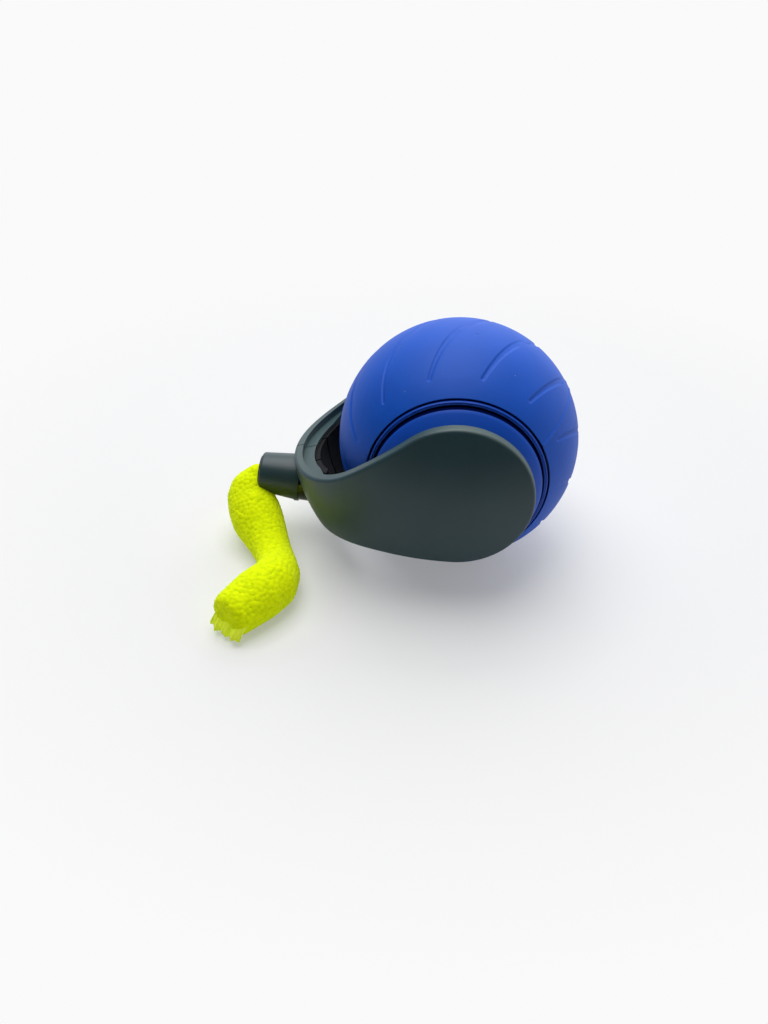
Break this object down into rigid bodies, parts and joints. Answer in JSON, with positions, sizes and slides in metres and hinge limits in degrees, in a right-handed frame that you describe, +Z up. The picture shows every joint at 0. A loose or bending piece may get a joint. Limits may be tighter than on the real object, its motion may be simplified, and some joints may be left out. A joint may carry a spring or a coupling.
{
  "type": "self-rolling pet ball",
  "caption": "Ball with a treaded rubber sleeve that rolls by a motor inside, held by a dark fork that trails behind it with a swivel tube and a plush tail",
  "frame": {"origin": "on the floor, right below the middle of the ball, where the ball touches the floor", "axes": "+X forward, away from the tail; +Y along the axle towards the control disc; +Z up"},
  "size_m": [0.1058, 0.0933, 0.07],
  "materials": {
    "blue_rubber": "matte",
    "blue_plastic": "satin",
    "slate_plastic": "matte",
    "black_plastic": "gloss",
    "black_matte": "matte",
    "inner_plastic": "matte",
    "gear_plastic": "satin",
    "steel": "brushed",
    "brass_metal": "satin",
    "board_green": "satin",
    "chip_black": "matte",
    "cell_wrap": "satin",
    "clear_lens": "clear",
    "lime_plush": "fluffy"
  },
  "bodies": {
    "fork": {"idler_pin": "steel", "motor_can": "steel", "motor_end_cap": "black_matte", "motor_screws": "steel", "chassis_cradle": "inner_plastic", "gearbox_cover": "inner_plastic", "gearbox_screws": "steel", "near_arm_screw": "steel", "far_spigot": "inner_plastic", "far_flange_screws": "steel", "far_arm_screws": "steel", "near_fork_half": "slate_plastic", "far_fork_half": "slate_plastic", "near_liner_panel": "black_matte", "far_liner_panel": "black_matte", "liner_wedge": "black_matte", "swivel_collar": "black_plastic", "swivel_spindle": "steel", "swivel_nut": "steel", "control_disc": "blue_plastic", "status_lens": "clear_lens", "power_switch": "chip_black", "switch_board": "board_green", "charging_socket": "steel", "battery_cell": "cell_wrap", "control_board": "board_green", "board_chips": "chip_black", "tilt_sensor": "chip_black", "steel_weight": "steel"},
    "ball": {"tread_sleeve": "blue_rubber", "near_shell": "inner_plastic", "far_shell": "inner_plastic", "near_clamp_ring": "blue_plastic", "far_clamp_ring": "blue_plastic", "near_hub_disc": "blue_plastic", "far_hub_disc": "blue_plastic", "near_bush": "brass_metal", "far_bush": "brass_metal", "ring_gear": "gear_plastic", "ring_gear_screws": "steel"},
    "idler": {"idler_gear": "gear_plastic"},
    "pinion": {"motor_pinion": "brass_metal", "motor_shaft": "steel"},
    "button": {"power_button": "blue_plastic"},
    "port_plug": {"port_plug": "blue_rubber"},
    "tail": {"tail_tube": "slate_plastic", "tail_plug": "black_matte", "tail": "lime_plush"}
  },
  "joints": [
    {"name": "ball_spin", "type": "hinge", "parent": "fork", "child": "ball", "pos_m": [0, 0, 0.035], "axis": [0, 1, 0], "continuous": true},
    {"name": "idler_spin", "type": "hinge", "parent": "fork", "child": "idler", "pos_m": [0.01241, -0.0145, 0.02459], "axis": [0, 1, 0], "continuous": true},
    {"name": "pinion_spin", "type": "hinge", "parent": "fork", "child": "pinion", "pos_m": [0.00009, -0.01, 0.02197], "axis": [0, 1, 0], "continuous": true},
    {"name": "power_press", "type": "slide", "parent": "fork", "child": "button", "axis": [0, -1, 0], "range_m": [0, 0.0005], "stiffness_N_per_m": 1500},
    {"name": "port_plug_pull", "type": "slide", "parent": "fork", "child": "port_plug", "axis": [0, 1, 0], "range_m": [0, 0.008]},
    {"name": "tail_swivel", "type": "hinge", "parent": "fork", "child": "tail", "pos_m": [-0.04745, 0, 0.0186], "axis": [-0.9936, 0, 0.1132], "continuous": true}
  ],
  "couplings": [
    {"joint": "idler_spin", "follows": "ball_spin", "ratio": 5.5},
    {"joint": "pinion_spin", "follows": "ball_spin", "ratio": -17.6}
  ]
}
